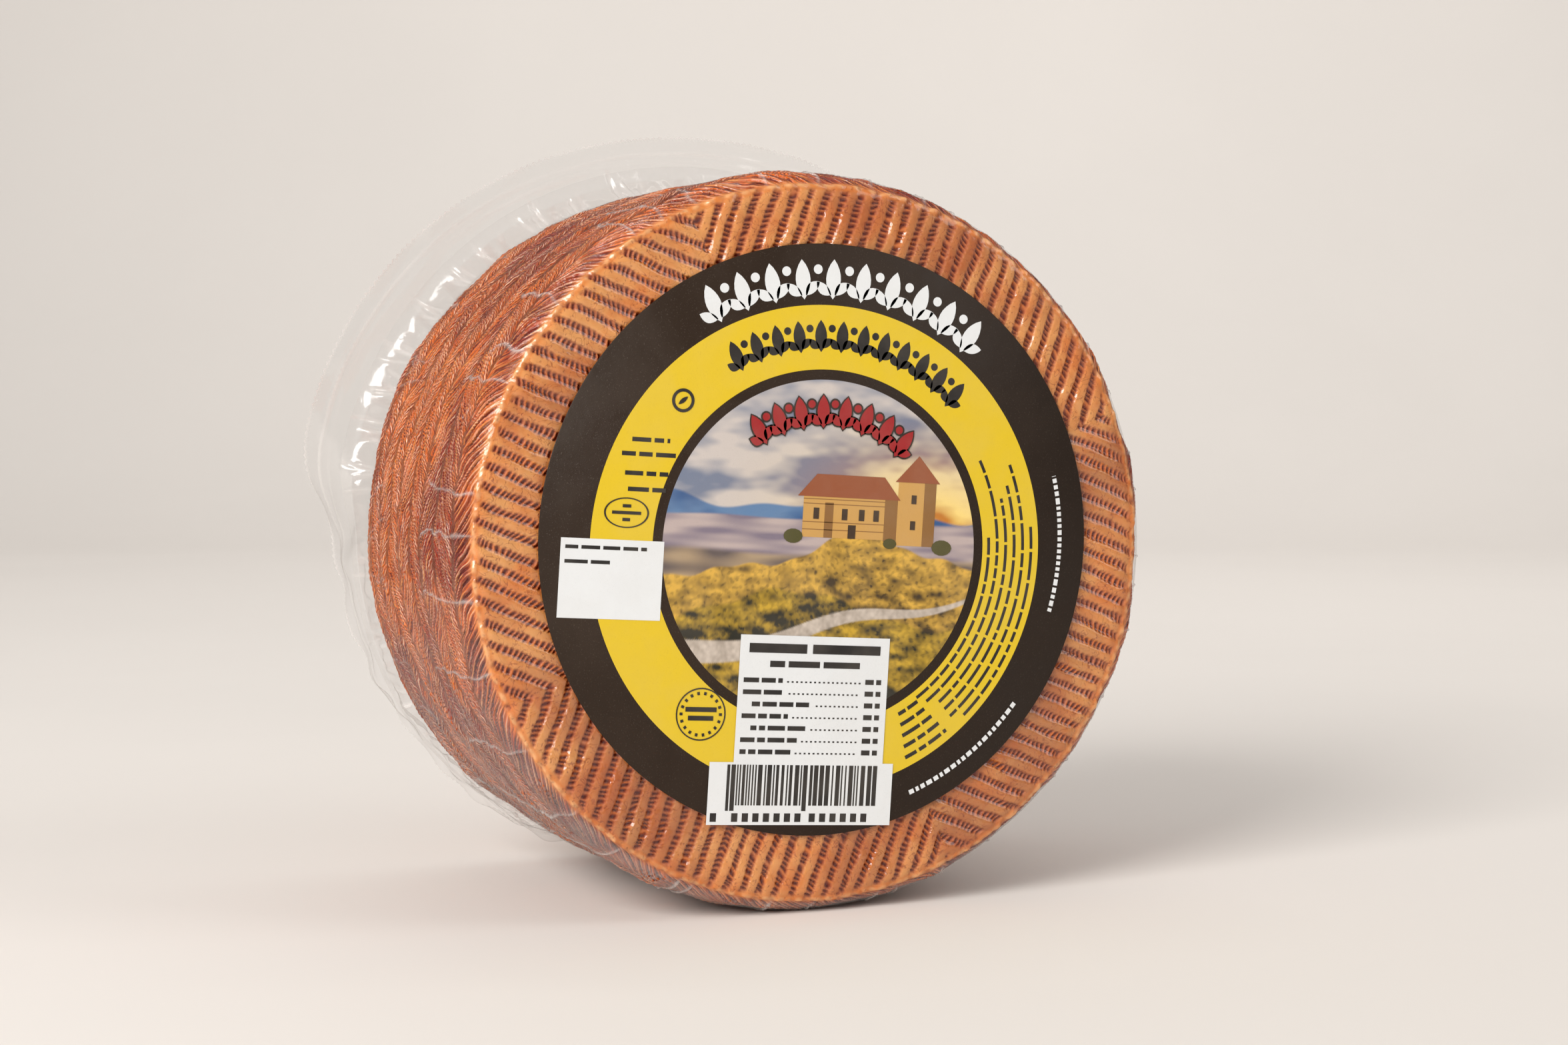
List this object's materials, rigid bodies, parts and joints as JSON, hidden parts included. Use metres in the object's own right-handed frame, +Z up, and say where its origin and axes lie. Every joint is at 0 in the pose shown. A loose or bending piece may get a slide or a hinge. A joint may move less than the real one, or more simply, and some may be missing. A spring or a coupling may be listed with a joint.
{
  "type": "cheese wheel",
  "caption": "Pressed cheese wheel with a ridged face and plaited side, standing on its edge in a clear film pack with a flared flange and a round paper label.",
  "frame": {"origin": "middle of the flat on the wheel's side that it stands on", "axes": "+Z up, -Y out of the labelled front face along the wheel's axis, +X to the right as the label is read"},
  "size_m": [0.2218, 0.1148, 0.2074],
  "materials": {
    "cheese_rind": "washed orange-brown cheese rind, waxy, with darker red-brown grooves",
    "clear_film": "clear glossy packing film",
    "printed_label": "satin printed paper, dark brown ring, yellow ring and a round landscape picture"
  },
  "bodies": {
    "root": {"cheese_wheel": "cheese_rind", "formed_film": "clear_film", "backing_film": "clear_film", "round_label": "printed_label"}
  },
  "joints": []
}
